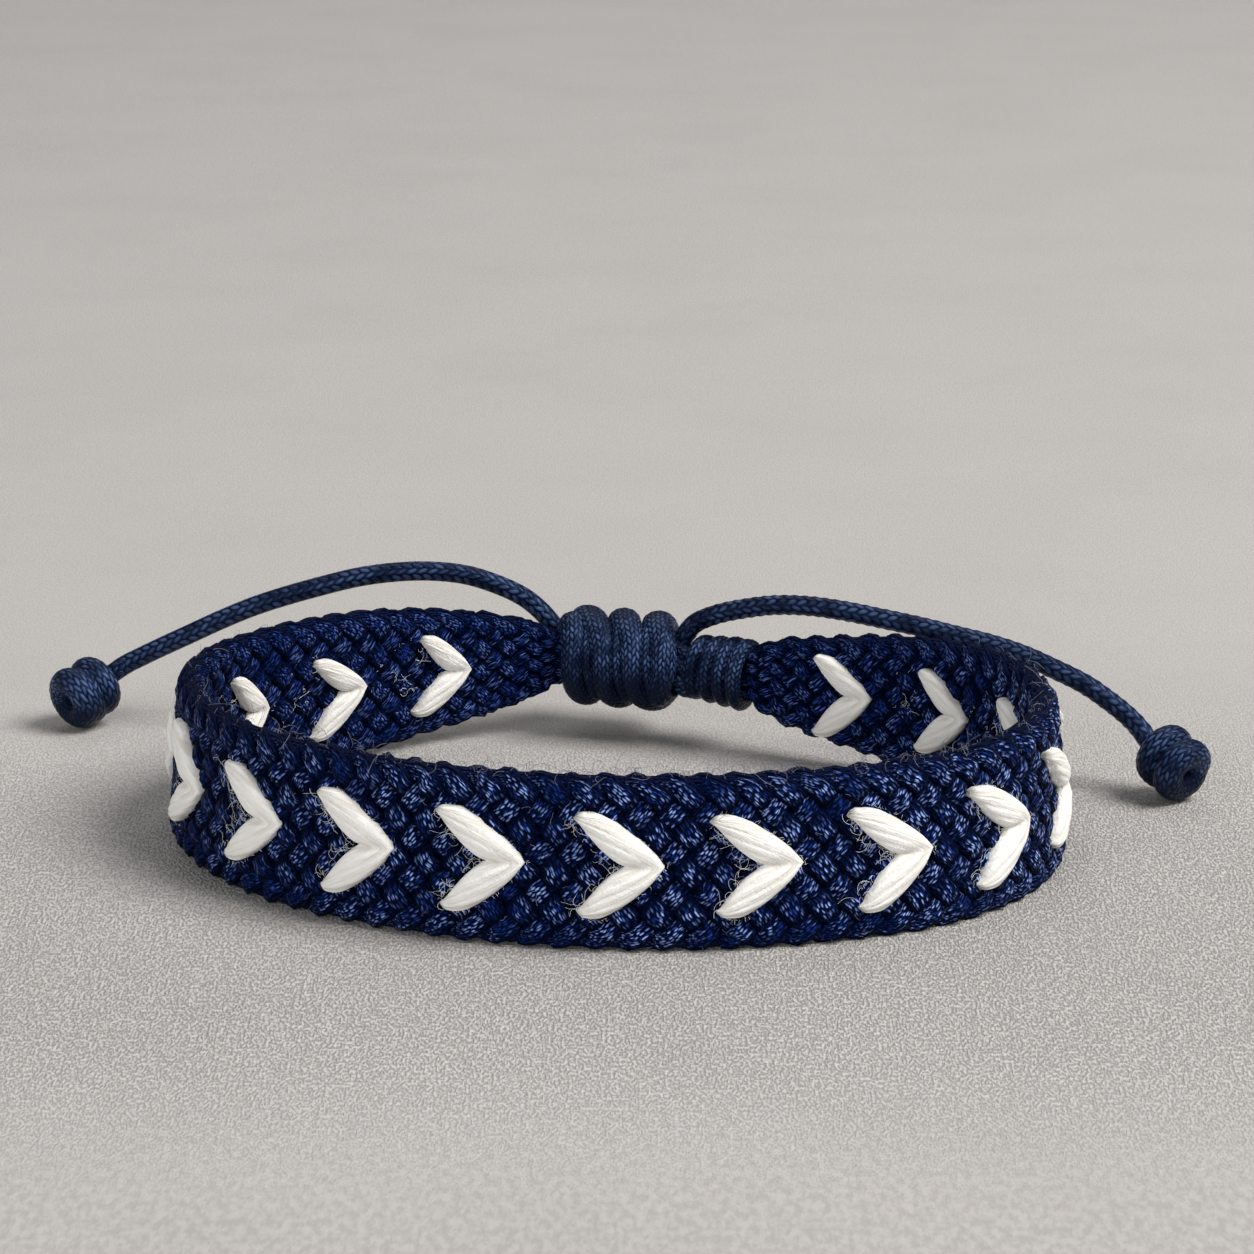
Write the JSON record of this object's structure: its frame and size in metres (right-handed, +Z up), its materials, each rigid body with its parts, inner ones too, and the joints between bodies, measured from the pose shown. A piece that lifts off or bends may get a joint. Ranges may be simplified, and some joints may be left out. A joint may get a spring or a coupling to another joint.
{
  "type": "woven bracelet",
  "caption": "Flat plaited textile bracelet with raised V stitches, closed into a loop by a sliding knot on two pull cords with end knots.",
  "frame": {"origin": "centre of the bracelet's box at the surface that it stands on, the free pull cords and their end knots left out", "axes": "+Z up along the wrist's axis, +X along the loop's longer width, +Y from the front of the loop to the sliding knot"},
  "size_m": [0.0884, 0.0544, 0.0131],
  "materials": {
    "navy_floss": "lustrous multifilament floss, flat plait",
    "white_floss": "matt off-white floss",
    "waxed_cord": "tight round braid with a waxed sheen"
  },
  "bodies": {
    "root": {"band": "navy_floss", "outer_stitches": "white_floss", "inner_stitches": "white_floss", "slide_knot": "waxed_cord", "end_wrap": "waxed_cord", "core_cord_left": "waxed_cord", "core_cord_right": "waxed_cord", "pull_cord_left": "waxed_cord", "pull_cord_right": "waxed_cord", "end_knot_left": "waxed_cord", "end_knot_right": "waxed_cord"}
  },
  "joints": []
}
